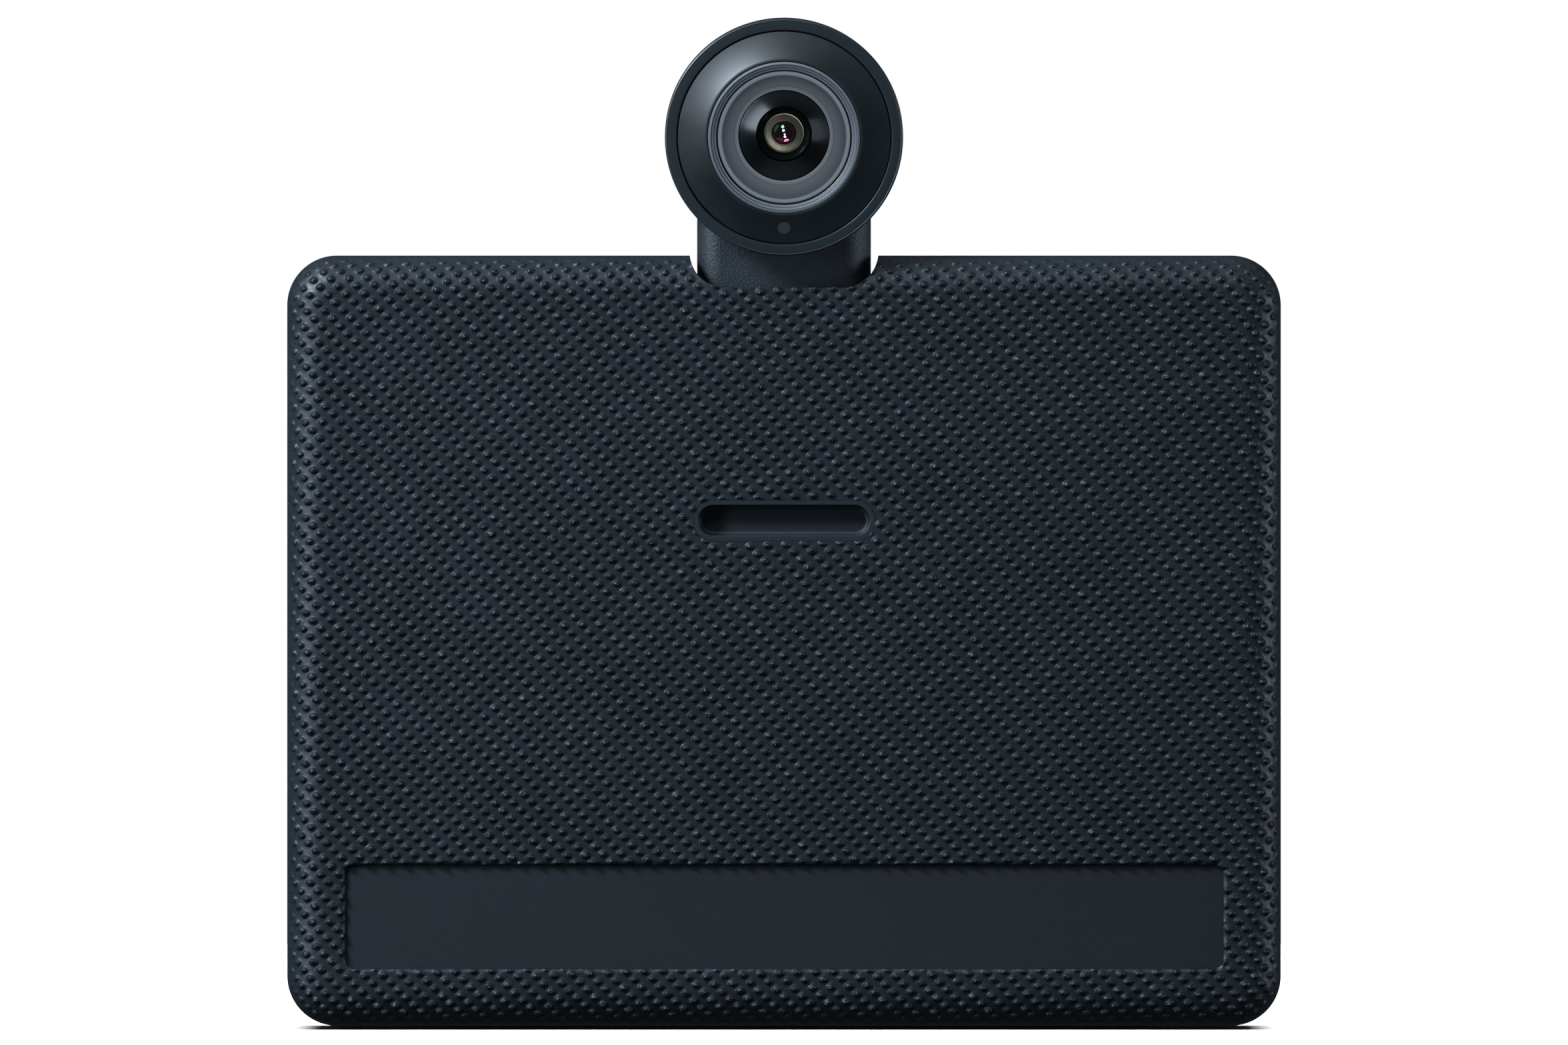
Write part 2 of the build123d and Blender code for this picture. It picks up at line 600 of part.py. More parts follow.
PIN_HALF = bracket_x + BRACKET_T + 1.4
with BuildPart() as hinge_pin:
    with BuildSketch(Plane.YZ.offset(-PIN_HALF)):
        with Locations((PIVOT_Y, PIVOT_Z)):
            Circle(PIN_R)
    extrude(amount=2 * PIN_HALF)
    chamfer(hinge_pin.edges().filter_by(GeomType.CIRCLE), 0.25)
    for start in (-bracket_x - BRACKET_T - 0.75, bracket_x + BRACKET_T + 0.1):
        with BuildSketch(Plane.YZ.offset(start)):
            with Locations((PIVOT_Y, PIVOT_Z)):
                Circle(PIN_R + 0.1)
                Circle(1.15, mode=Mode.SUBTRACT)
        extrude(amount=0.65, mode=Mode.SUBTRACT)
save(hinge_pin, "hinge_pin")

with BuildPart() as pin_clips:
    for start in (-bracket_x - BRACKET_T - 0.7, bracket_x + BRACKET_T + 0.15):
        with BuildSketch(Plane.YZ.offset(start)):
            with Locations((PIVOT_Y, PIVOT_Z)):
                Circle(3.0)
                Circle(1.18, mode=Mode.SUBTRACT)
            with Locations((PIVOT_Y, PIVOT_Z - 2.2)):
                Rectangle(1.6, 3.0, mode=Mode.SUBTRACT)
        extrude(amount=0.55)
save(pin_clips, "pin_clips")

with BuildPart() as bracket_screws:
    with BuildSketch(Plane.XY.offset(well_floor - 0.05 - BRACKET_T)):
        with Locations((-10, PIVOT_Y), (10, PIVOT_Y)):
            Circle(1.6)
    extrude(amount=-0.8)
    with BuildSketch(Plane.XY.offset(well_floor - 0.05 - BRACKET_T)):
        with Locations((-10, PIVOT_Y), (10, PIVOT_Y)):
            Circle(0.8)
    extrude(amount=2.4)
    with BuildSketch(Plane.XY.offset(well_floor - 0.85 - BRACKET_T)):
        with Locations((-10, PIVOT_Y), (10, PIVOT_Y)):
            RegularPolygon(0.7, 6)
    extrude(amount=0.45, mode=Mode.SUBTRACT)
save(bracket_screws, "bracket_screws")

with BuildPart() as friction_washers:
    for start in (-NOTCH_HALF + 0.03, NECK_W / 2 + 0.03):
        with BuildSketch(Plane.YZ.offset(start)):
            with Locations((PIVOT_Y, PIVOT_Z)):
                Circle(3.3)
                Circle(PIN_R + 0.02, mode=Mode.SUBTRACT)
        extrude(amount=NOTCH_HALF - NECK_W / 2 - 0.06)
save(friction_washers, "friction_washers")

# ================================================================ camera head
BARREL_R = 2.5
CARRIER_R = 14.75
BEZEL_FLANGE_R = 14.8
with BuildPart() as camera_housing:
    # neck block with a round foot about the pivot
    with BuildSketch(Plane.XY.offset(PIVOT_Z - NECK_T)):
        with Locations((0, PIVOT_Y)):
            RectangleRounded(NECK_W, NECK_T, NECK_EDGE_R)
    extrude(amount=HEAD_LIMIT_Z - PIVOT_Z + NECK_T)
    with BuildSketch(Plane.YZ.offset(-NECK_W)):
        with Locations((PIVOT_Y, PIVOT_Z)):
            Circle(NECK_T / 2)
        with Locations((PIVOT_Y, (PIVOT_Z + HEAD_LIMIT_Z) / 2)):
            Rectangle(NECK_T, HEAD_LIMIT_Z - PIVOT_Z)
    extrude(amount=2 * NECK_W, mode=Mode.INTERSECT)
    # round cup behind the bezel, tapering towards its back
    with BuildSketch(LENS_PROFILE):
        Polygon((0, -HOUSING_DEPTH), (HOUSING_END_R, -HOUSING_DEPTH), (HOUSING_R, -BEZEL_RING_T),
                (0, -BEZEL_RING_T), align=None)
    revolve(axis=OPTICAL_AXIS)
    fillet(camera_housing.edges().filter_by(GeomType.CIRCLE).group_by(Axis.Y)[-1], 2.6)
    with BuildSketch(LENS_PROFILE):
        Polygon((0, HOUSING_WALL - HOUSING_DEPTH), (HOUSING_END_R - HOUSING_WALL, HOUSING_WALL - HOUSING_DEPTH),
                (HOUSING_R - HOUSING_WALL, -BEZEL_RING_T), (HOUSING_R - HOUSING_WALL, 0), (0, 0), align=None)
    revolve(axis=OPTICAL_AXIS, mode=Mode.SUBTRACT)
    # screw posts for the lens carrier
    with BuildSketch(head_plane(-HOUSING_DEPTH + HOUSING_WALL)):
        with PolarLocations(13.3, 3, start_angle=90):
            Circle(1.9)
    extrude(amount=HOUSING_DEPTH - HOUSING_WALL - 5.85)
    with BuildSketch(head_plane(-11)):
        with PolarLocations(13.3, 3, start_angle=90):
            Circle(0.82)
    extrude(amount=8, mode=Mode.SUBTRACT)
    # cable channel up the neck and the bore for the hinge barrel
    with BuildSketch(Plane.XY.offset(PIVOT_Z + 3.8)):
        with Locations((0, PIVOT_Y)):
            RectangleRounded(16, 4, 1.2)
    extrude(amount=HEAD_LIMIT_Z - PIVOT_Z - 3.8, mode=Mode.SUBTRACT)
    with BuildSketch(Plane.YZ.offset(-NECK_W)):
        with Locations((PIVOT_Y, PIVOT_Z)):
            Circle(BARREL_R)
    extrude(amount=2 * NECK_W, mode=Mode.SUBTRACT)
save(camera_housing, "camera_housing")

with BuildPart() as hinge_barrel:
    with BuildSketch(Plane.YZ.offset(-NECK_W / 2)):
        with Locations((PIVOT_Y, PIVOT_Z)):
            Circle(BARREL_R - 0.01)
            Circle(PIN_R + PIN_CLEARANCE, mode=Mode.SUBTRACT)
    extrude(amount=NECK_W)
save(hinge_barrel, "hinge_barrel")

# Satin bezel ring, with a flange that carries the glossy face plate.
turned("head_bezel", [
    (BEZEL_FLANGE_R, -BEZEL_RING_T), (HEAD_R, -BEZEL_RING_T), (HEAD_R, -0.25), (17.6, 0), (16.35, 0), (16.15, -0.2),
    (16.15, -1.25), (BEZEL_FLANGE_R, -1.25),
])

PLATE_FRONT = -0.25
LIGHT_DOWN = 13.6
with BuildPart() as face_plate:
    with BuildSketch(head_plane(-1.2)):
        Circle(16.02)
        Circle(11.45, mode=Mode.SUBTRACT)
        with Locations((0, -LIGHT_DOWN)):
            Circle(0.97, mode=Mode.SUBTRACT)
    extrude(amount=1.2 + PLATE_FRONT)
save(face_plate, "face_plate")

with BuildPart() as status_light_pipe:
    with BuildSketch(head_plane(-3.9)):
        with Locations((0, -LIGHT_DOWN)):
            Circle(0.94)
    extrude(amount=3.9 + PLATE_FRONT - 0.02)
save(status_light_pipe, "status_light_pipe")

with BuildPart() as status_led:
    with BuildSketch(head_plane(-4.7)):
        with Locations((0, -LIGHT_DOWN)):
            RectangleRounded(2.4, 1.6, 0.2)
    extrude(amount=0.7)
save(status_led, "status_led")

# Stepped ring round the lens opening.
turned("ridged_ring", [
    (10.15, -1.65), (11.4, -1.65), (11.4, 0.0), (11.3, 0.1), (10.98, 0.1), (10.9, -0.1), (10.58, -0.1),
    (10.5, -0.3), (10.2, -0.3), (10.15, -0.35),
])
# Satin dish that funnels down to the lens.
turned("lens_dish", [
    (6.85, -4.65), (9.95, -4.65), (9.95, -0.65), (9.85, -0.55), (9.35, -0.55), (9.2, -0.75),
    (7.45, -3.35), (7.35, -3.45), (6.85, -3.5),
])
# Plate that carries the rings and is screwed to the housing posts.
with BuildPart() as lens_carrier:
    with BuildSketch(head_plane(-5.8)):
        Circle(CARRIER_R)
        Circle(6.95, mode=Mode.SUBTRACT)
        with PolarLocations(13.3, 3, start_angle=90):
            Circle(0.95, mode=Mode.SUBTRACT)
    extrude(amount=1.1)
    with BuildSketch(head_plane(-4.7)):
        Circle(12.0)
        Circle(10.2, mode=Mode.SUBTRACT)
    extrude(amount=3.0)
    with BuildSketch(head_plane(-1.7)):
        Circle(12.0)
        Circle(11.5, mode=Mode.SUBTRACT)
    extrude(amount=0.45)
save(lens_carrier, "lens_carrier")

with BuildPart() as head_screws:
    with BuildSketch(head_plane(-4.7)):
        with PolarLocations(13.3, 3, start_angle=90):
            Circle(1.25)
    extrude(amount=0.8)
    with BuildSketch(head_plane(-4.7)):
        with PolarLocations(13.3, 3, start_angle=90):
            Circle(0.8)
    extrude(amount=-6)
    with BuildSketch(head_plane(-3.9)):
        with PolarLocations(13.3, 3, start_angle=90):
            RegularPolygon(0.6, 6)
    extrude(amount=-0.45, mode=Mode.SUBTRACT)
save(head_screws, "head_screws")

# Glossy black cup round the lens.
with BuildPart() as lens_cup:
    with BuildSketch(LENS_PROFILE):
        with BuildLine():
            Polyline((6.7, -3.6), (6.8, -3.7), (6.8, -6.6), (4.15, -6.6), (4.15, -6.15))
            RadiusArc((4.15, -6.15), (6.7, -3.6), 5.2)
        make_face()
    revolve(axis=OPTICAL_AXIS)
save(lens_cup, "lens_cup")

turned("lens_barrel", [
    (2.6, -11.6), (6.0, -11.6), (6.0, -6.65), (4.1, -6.65), (4.1, -6.1), (3.95, -6.0), (3.6, -6.15),
    (3.55, -6.3), (3.05, -6.75), (3.05, -7.8), (2.6, -7.8),
])
turned("lens_retainer", [
    (1.8, -7.75), (3.0, -7.75), (3.0, -6.95), (2.85, -6.85), (1.9, -7.35), (1.8, -7.45),
])
with BuildPart() as front_lens:
    with BuildSketch(LENS_PROFILE):
        with BuildLine():
            Polyline((1.75, -7.82), (2.55, -7.82), (2.55, -9.0), (0, -9.0), (0, -7.35))
            RadiusArc((0, -7.35), (1.75, -7.82), 3.5)
        make_face()
    revolve(axis=OPTICAL_AXIS)
save(front_lens, "front_lens")
turned("lens_spacer", [(2.1, -9.7), (2.55, -9.7), (2.55, -9.05), (2.1, -9.05)])
with BuildPart() as rear_lens:
    with BuildSketch(LENS_PROFILE):
        with BuildLine():
            Polyline((2.55, -9.95), (2.55, -10.8), (0, -10.8), (0, -9.4))
            RadiusArc((0, -9.4), (1.9, -9.95), 3.6)
            Line((1.9, -9.95), (2.55, -9.95))
        make_face()
    revolve(axis=OPTICAL_AXIS)
save(rear_lens, "rear_lens")

with BuildPart() as lens_mount:
    with BuildSketch(head_plane(-12.6)):
        RectangleRounded(15, 15, 1.5)
        Circle(6.05, mode=Mode.SUBTRACT)
    extrude(amount=4.0)
save(lens_mount, "lens_mount")

with BuildPart() as image_sensor:
    with BuildSketch(head_plane(-12.6)):
        RectangleRounded(6.6, 6.0, 0.2)
    extrude(amount=0.8)
save(image_sensor, "image_sensor")

with BuildPart() as camera_board:
    with BuildSketch(head_plane(-13.65)):
        RectangleRounded(18, 18, 1.5)
    extrude(amount=1.0)
save(camera_board, "camera_board")
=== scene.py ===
import json
import math

import bpy
import numpy as np
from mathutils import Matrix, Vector


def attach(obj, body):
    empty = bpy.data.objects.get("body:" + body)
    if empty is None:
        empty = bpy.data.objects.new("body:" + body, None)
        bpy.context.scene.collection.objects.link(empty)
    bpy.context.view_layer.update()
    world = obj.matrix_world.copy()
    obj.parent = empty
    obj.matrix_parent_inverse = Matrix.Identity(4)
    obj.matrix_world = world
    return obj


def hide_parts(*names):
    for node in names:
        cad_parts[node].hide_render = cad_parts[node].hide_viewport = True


# A smart display seen from behind: a case in a studded skin, with a camera head that tilts in a notch
# of its top edge. X is to the right as seen from the camera side, Y away from it, Z up; the case
# stands on z = 0. Sizes with MM beside them are in millimetres, the rest in metres.

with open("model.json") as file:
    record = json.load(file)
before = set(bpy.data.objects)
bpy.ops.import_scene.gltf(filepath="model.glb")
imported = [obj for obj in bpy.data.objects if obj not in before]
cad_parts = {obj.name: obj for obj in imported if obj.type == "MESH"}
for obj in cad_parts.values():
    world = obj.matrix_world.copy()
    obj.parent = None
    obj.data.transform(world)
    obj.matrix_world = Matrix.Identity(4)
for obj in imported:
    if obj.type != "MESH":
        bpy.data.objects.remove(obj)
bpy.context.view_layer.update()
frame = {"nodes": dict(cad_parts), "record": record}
nodes = frame["nodes"]
MM = 0.001

# ------------------------------------------------------------------ materials


def new_material(name, color, rough, metal=0.0, spec=0.5, coat=0.0):
    """Principled material; returns it with its nodes, links and shader."""
    mat = bpy.data.materials.new(name)
    mat.use_nodes = True
    mat.diffuse_color = (*color, 1)
    s = mat.node_tree.nodes["Principled BSDF"]
    s.inputs["Base Color"].default_value = (*color, 1)
    s.inputs["Roughness"].default_value = rough
    s.inputs["Metallic"].default_value = metal
    s.inputs["Specular IOR Level"].default_value = spec
    s.inputs["Coat Weight"].default_value = coat
    s.inputs["Coat Roughness"].default_value = 0.05
    return mat, mat.node_tree.nodes, mat.node_tree.links, s


def noise(nt, ln, scale, detail, rough):
    """Noise fixed to the piece; scale is in features per metre."""
    tc = nt.new("ShaderNodeTexCoord")
    n = nt.new("ShaderNodeTexNoise")
    n.inputs["Scale"].default_value = scale
    n.inputs["Detail"].default_value = detail
    n.inputs["Roughness"].default_value = rough
    ln.new(tc.outputs["Object"], n.inputs["Vector"])
    return n.outputs["Fac"]


def bump(nt, ln, shader, height, depth, strength=1.0, over=None):
    """Bump of the given depth in metres, laid over an earlier one if there is one."""
    b = nt.new("ShaderNodeBump")
    b.inputs["Strength"].default_value = strength
    b.inputs["Distance"].default_value = depth
    ln.new(height, b.inputs["Height"])
    if over is not None:
        ln.new(over, b.inputs["Normal"])
    ln.new(b.outputs["Normal"], shader.inputs["Normal"])
    return b.outputs["Normal"]


def grey(value):
    return (value, value, value)


def ramp(nt, ln, fac, stops):
    """Colour ramp through (position, colour) stops."""
    r = nt.new("ShaderNodeValToRGB")
    els = r.color_ramp.elements
    while len(els) > 1:
        els.remove(els[-1])
    els[0].position, els[0].color = stops[0][0], (*stops[0][1], 1)
    for p, c in stops[1:]:
        e = els.new(p)
        e.color = (*c, 1)
    ln.new(fac, r.inputs["Fac"])
    return r.outputs["Color"]


def moulded(name, color, rough, grain=4200, depth=0.00003, strength=0.5, vary=0.12, spec=0.5):
    """Moulded plastic: a fine spark-eroded grain and slightly uneven colour and gloss."""
    mat, nt, ln, s = new_material(name, color, rough, spec=spec)
    fine = noise(nt, ln, grain, 3.0, 0.6)
    bump(nt, ln, s, fine, depth, strength)
    patch = noise(nt, ln, 60, 3.0, 0.6)
    low = tuple(c * (1 - vary) for c in color)
    high = tuple(c * (1 + vary) for c in color)
    ln.new(ramp(nt, ln, patch, [(0.3, low), (0.7, high)]), s.inputs["Base Color"])
    gloss = ramp(nt, ln, fine, [(0.3, grey(rough - 0.05)), (0.7, grey(rough + 0.05))])
    ln.new(gloss, s.inputs["Roughness"])
    return mat


SLATE = (0.0150, 0.0205, 0.0255)


def skin_material():
    """Soft moulded skin: fine grain in the valleys and folds on the studs."""
    mat, nt, ln, s = new_material("grip_skin", SLATE, 0.4, spec=0.5)
    fine = noise(nt, ln, 5200, 3.0, 0.65)
    crinkle = noise(nt, ln, 2200, 2.0, 0.55)
    stud = nt.new("ShaderNodeAttribute")
    stud.attribute_name = "stud"
    folds = nt.new("ShaderNodeMath")
    folds.operation = "MULTIPLY"
    ln.new(crinkle, folds.inputs[0])
    ln.new(stud.outputs["Fac"], folds.inputs[1])
    first = bump(nt, ln, s, fine, 0.00003, 0.5)
    bump(nt, ln, s, folds.outputs[0], 0.00036, 0.9, over=first)
    patch = noise(nt, ln, 90, 3.0, 0.6)
    low = tuple(c * 0.86 for c in SLATE)
    high = tuple(c * 1.14 for c in SLATE)
    ln.new(ramp(nt, ln, patch, [(0.3, low), (0.7, high)]), s.inputs["Base Color"])
    ln.new(ramp(nt, ln, crinkle, [(0.35, grey(0.40)), (0.7, grey(0.50))]), s.inputs["Roughness"])
    return mat


def leather_material():
    """Neck and housing: a fine irregular leather-like grain in the moulding."""
    mat, nt, ln, s = new_material("case_plastic_grained", (0.017, 0.023, 0.028), 0.52, spec=0.5)
    tc = nt.new("ShaderNodeTexCoord")
    cells = nt.new("ShaderNodeTexVoronoi")
    cells.feature = "DISTANCE_TO_EDGE"
    cells.inputs["Scale"].default_value = 1900
    slant = nt.new("ShaderNodeMapping")
    slant.inputs["Rotation"].default_value = (0.2, 0.5, 0.3)
    slant.inputs["Scale"].default_value = (1.0, 1.0, 1.45)
    ln.new(tc.outputs["Object"], slant.inputs["Vector"])
    ln.new(slant.outputs["Vector"], cells.inputs["Vector"])
    fine = noise(nt, ln, 3300, 3.0, 0.6)
    first = bump(nt, ln, s, cells.outputs["Distance"], 0.00012, 0.7)
    bump(nt, ln, s, fine, 0.00012, 0.7, over=first)
    patch = noise(nt, ln, 120, 3.0, 0.6)
    tone = ramp(nt, ln, patch, [(0.3, (0.015, 0.020, 0.025)), (0.7, (0.019, 0.026, 0.032))])
    ln.new(tone, s.inputs["Base Color"])
    return mat


def gloss_material(name, color, rough, spec=0.5, coat=0.0):
    """Polished plastic or glass with faint uneven gloss."""
    mat, nt, ln, s = new_material(name, color, rough, spec=spec, coat=coat)
    smear = noise(nt, ln, 140, 4.0, 0.6)
    ln.new(ramp(nt, ln, smear, [(0.35, grey(rough)), (0.75, grey(rough + 0.035))]), s.inputs["Roughness"])
    return mat


def metal_material(name, color, rough, grain=9000):
    """Bare metal with a fine grain and slightly uneven tone."""
    mat, nt, ln, s = new_material(name, color, rough, metal=1.0)
    fine = noise(nt, ln, grain, 2.0, 0.5)
    bump(nt, ln, s, fine, 0.00002, 0.35)
    wear = noise(nt, ln, 900, 3.0, 0.6)
    ln.new(ramp(nt, ln, wear, [(0.3, tuple(c * 0.75 for c in color)), (0.7, color)]), s.inputs["Base Color"])
    return mat


M = {
    "skin": skin_material(),
    "leather": leather_material(),
    "shell": moulded("case_plastic", (0.017, 0.023, 0.028), 0.48),
    "smooth": moulded("smooth_plastic", (0.0165, 0.0215, 0.026), 0.5, 3800, 0.00002, 0.35, 0.06),
    "satin": moulded("satin_plastic", (0.021, 0.0275, 0.033), 0.42, 5200, 0.000015, 0.3, 0.06),
    "slot": moulded("slot_plastic", (0.017, 0.023, 0.028), 0.5, 4500, 0.00002, 0.4, 0.06),
    "control": moulded("control_plastic", (0.012, 0.015, 0.018), 0.45),
    "gloss": gloss_material("gloss_black", (0.003, 0.005, 0.006), 0.16),
    "plate": gloss_material("face_plate", (0.002, 0.0048, 0.006), 0.25, spec=0.8),
    "dish": moulded("dish_satin", (0.083, 0.085, 0.088), 0.6, 6500, 0.000015, 0.35, 0.05),
    "ridge": moulded("ridge_satin", (0.026, 0.031, 0.036), 0.4, 6500, 0.000015, 0.35, 0.05),
    "cup": gloss_material("cup_black", (0.003, 0.005, 0.006), 0.2),
    "glass": gloss_material("panel_glass", (0.003, 0.003, 0.0035), 0.05, coat=0.5),
    "lens": gloss_material("lens_glass", (0.010, 0.004, 0.007), 0.03, coat=0.3),
    "brass": metal_material("gilt_brass", (0.40, 0.39, 0.30), 0.42),
    "steel": metal_material("steel", (0.45, 0.45, 0.46), 0.35),
    "sheet": metal_material("sheet_steel", (0.5, 0.5, 0.5), 0.4, 3000),
    "bronze": metal_material("washer_bronze", (0.5, 0.36, 0.2), 0.4),
    "alu": metal_material("heat_aluminium", (0.72, 0.73, 0.74), 0.45, 3000),
    "board": moulded("board", (0.012, 0.06, 0.03), 0.4, 900, 0.00002, 0.4, 0.25),
    "chip": moulded("chip", (0.012, 0.012, 0.013), 0.55),
    "flex": gloss_material("flex", (0.28, 0.12, 0.02), 0.35),
    "rubber": moulded("foot_rubber", (0.014, 0.014, 0.015), 0.75, 2500),
    "pipe": moulded("light_pipe", (0.022, 0.027, 0.032), 0.55, 5000, 0.00001, 0.3, 0.03),
    "film": gloss_material("panel_film", (0.006, 0.006, 0.007), 0.3),
    "void": moulded("lens_black", (0.003, 0.003, 0.0035), 0.6),
}


def set_material(obj, mat):
    """Give a piece one material."""
    obj.data.materials.clear()
    obj.data.materials.append(mat)


# CAD material slot -> material
BY_SLOT = {
    "grip_skin": "skin", "case_plastic": "shell", "smooth_plastic": "smooth", "control_plastic": "control",
    "gloss_black": "gloss", "panel_glass": "glass", "gilt_brass": "brass", "lens_glass": "lens",
    "panel_film": "film", "sheet_steel": "sheet", "steel": "steel", "washer_bronze": "bronze",
    "heat_aluminium": "alu", "board": "board", "chip": "chip", "flex": "flex", "foot_rubber": "rubber",
    "light_pipe": "pipe", "lens_black": "void",
}
for part in frame["record"]["subparts"]:
    set_material(nodes[part["node"]], M[BY_SLOT[part["material_slot"]]])
set_material(nodes["camera_housing"], M["leather"])
set_material(nodes["slot_cup"], M["slot"])


def make_object(name, points, faces, mat, body, sharp=35):
    """Smooth-shaded mesh piece from points in metres, riding on a body."""
    me = bpy.data.meshes.new(name)
    me.from_pydata([tuple(p) for p in points], [], [tuple(f) for f in faces])
    me.update()
    me.shade_smooth()
    me.set_sharp_from_angle(angle=math.radians(sharp))
    obj = bpy.data.objects.new(name, me)
    bpy.context.scene.collection.objects.link(obj)
    set_material(obj, mat)
    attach(obj, body)
    return obj


# ------------------------------------------------------------------ grip skin
# The case, in millimetres: the same sizes as the CAD.
BACK_Y, HALF_W, BOTTOM, TOP = -18.0, 74.6, 0.5, 116.2
MID = (BOTTOM + TOP) / 2
HALF_H = (TOP - BOTTOM) / 2
CORNER, EDGE = 7.5, 5.5
FLAT_R = CORNER - EDGE
WRAP_END = EDGE * math.pi / 2 + 1.45
# steps from one stud to the next along the two slanted rows
STUD_A = np.array((1.14, -1.14))
STUD_B = np.array((-1.58, -1.26))
STUD_H, STUD_R, STUD_OVAL = 0.44, 0.72, 0.84
SEGMENTS = 12
rng = np.random.default_rng(7)


def rounded_box(u, v, half_u, half_v, r):
    """Signed distance to a rounded rectangle, and the outward direction."""
    qu, qv = np.abs(u) - (half_u - r), np.abs(v) - (half_v - r)
    out_u, out_v = np.maximum(qu, 0), np.maximum(qv, 0)
    away = np.hypot(out_u, out_v)
    dist = away + np.minimum(np.maximum(qu, qv), 0) - r
    safe = np.where(away > 1e-9, away, 1)
    return dist, np.sign(u) * out_u / safe, np.sign(v) * out_v / safe


def wrap(u, v, h):
    """Lay the unrolled skin on the back and round its edges; h is out of the surface."""
    d, nu, nv = rounded_box(u, v, HALF_W - EDGE, HALF_H - EDGE, FLAT_R)
    d = np.maximum(d, 0)
    turn = np.minimum(d / EDGE, math.pi / 2)
    side = np.maximum(d - EDGE * math.pi / 2, 0)
    lift = EDGE * np.sin(turn)
    x = u + nu * (lift - d) + nu * np.sin(turn) * h
    z = v + nv * (lift - d) + nv * np.sin(turn) * h
    y = BACK_Y + EDGE * (1 - np.cos(turn)) + side - np.cos(turn) * h
    return np.stack((x, y, z + MID), -1)


# Each of these is the distance in millimetres to an edge of the skin, negative outside it.
def clear_of_strip(u, v):
    return rounded_box(u, v + MID - 16.95, 65.85, 7.75, 1.4)[0]


def clear_of_slot(u, v):
    return rounded_box(u, v + MID - 76.4, 13.7, 3.1, 3.1)[0]


def clear_of_notch(u, v):
    p = wrap(u, v, 0 * u)
    return np.hypot(np.maximum(np.abs(p[:, 0]) - 8.9, 0), np.maximum(116.63 - p[:, 2], 0)) - 5.33


def clear_of_rim(u, v):
    return WRAP_END - rounded_box(u, v, HALF_W - EDGE, HALF_H - EDGE, FLAT_R)[0]


def stud_field():
    """Unrolled skin: one patch per stud, sharing its border with its neighbours."""
    reach_u, reach_v = HALF_W + 6, HALF_H + 6
    n = 110
    i, j = np.meshgrid(np.arange(-n, n + 1), np.arange(-n, n + 1))
    c = i.reshape(-1, 1) * STUD_A + j.reshape(-1, 1) * STUD_B + np.array((0.35, 0.2))
    c = c[(np.abs(c[:, 0]) < reach_u) & (np.abs(c[:, 1]) < reach_v)]
    corners = np.array([STUD_A + STUD_B, STUD_A - STUD_B, -STUD_A - STUD_B, STUD_B - STUD_A]) / 2
    border = []
    for k in range(4):
        a, b = corners[k], corners[(k + 1) % 4]
        border += [a, a + (b - a) / 3, a + (b - a) * 2 / 3]
    border = np.array(border)
    angle = np.arctan2(border[:, 1], border[:, 0])
    count = len(c)
    size = rng.uniform(0.95, 1.06, (count, 1))
    tall = rng.uniform(0.88, 1.08, (count, 1))
    spin = rng.uniform(-0.25, 0.1, (count, 1))
    lean = rng.normal(0, 0.035, (count, 1, 2))
    # share of the radius and of the height, then the spread of each, from the foot to the top
    rings = [(1.10, 0.0, 0.0, 0.0), (0.97, 0.07, 0.03, 0.02), (0.79, 0.40, 0.06, 0.08),
             (0.55, 0.76, 0.09, 0.10), (0.28, 0.95, 0.16, 0.12)]
    layers = [np.concatenate([np.broadcast_to(c[:, None], (count, SEGMENTS, 2)) + border,
                              np.zeros((count, SEGMENTS, 1))], -1)]
    for r, h, push, rough in rings:
        a = angle - spin
        rad = STUD_R * r * size * (1 + rng.normal(0, push, (count, SEGMENTS)))
        ex, ey = rad * np.cos(a), rad * STUD_OVAL * np.sin(a)
        pu = ex * np.cos(spin) - ey * np.sin(spin)
        pv = ex * np.sin(spin) + ey * np.cos(spin)
        p = np.stack((pu, pv), -1)
        far = np.linalg.norm(p, axis=2) / (0.9 * np.linalg.norm(border, axis=1))
        p = p / np.maximum(far, 1)[..., None] + c[:, None] + lean * h
        hh = STUD_H * tall * h * (1 + rng.normal(0, rough, (count, SEGMENTS)))
        layers.append(np.concatenate([p, hh[..., None]], -1))
    tip = STUD_H * tall * (1.0 + rng.normal(0, 0.13, (count, 1)))
    apex = np.concatenate([c + lean[:, 0], tip], -1)[:, None]
    block = np.concatenate(layers + [apex], 1)
    per = block.shape[1]
    tris = []
    for m in range(len(rings)):
        for k in range(SEGMENTS):
            a, b = m * SEGMENTS + k, m * SEGMENTS + (k + 1) % SEGMENTS
            tris += [(a, b, b + SEGMENTS), (a, b + SEGMENTS, a + SEGMENTS)]
    last = len(rings) * SEGMENTS
    for k in range(SEGMENTS):
        tris.append((last + k, last + (k + 1) % SEGMENTS, per - 1))
    tris = (np.array(tris)[None] + (np.arange(count) * per)[:, None, None]).reshape(-1, 3)
    points = block.reshape(-1, 3)
    key = np.round(points * 2000).astype(np.int64)
    _, first, back = np.unique(key, axis=0, return_index=True, return_inverse=True)
    return points[first], back.reshape(-1)[tris]


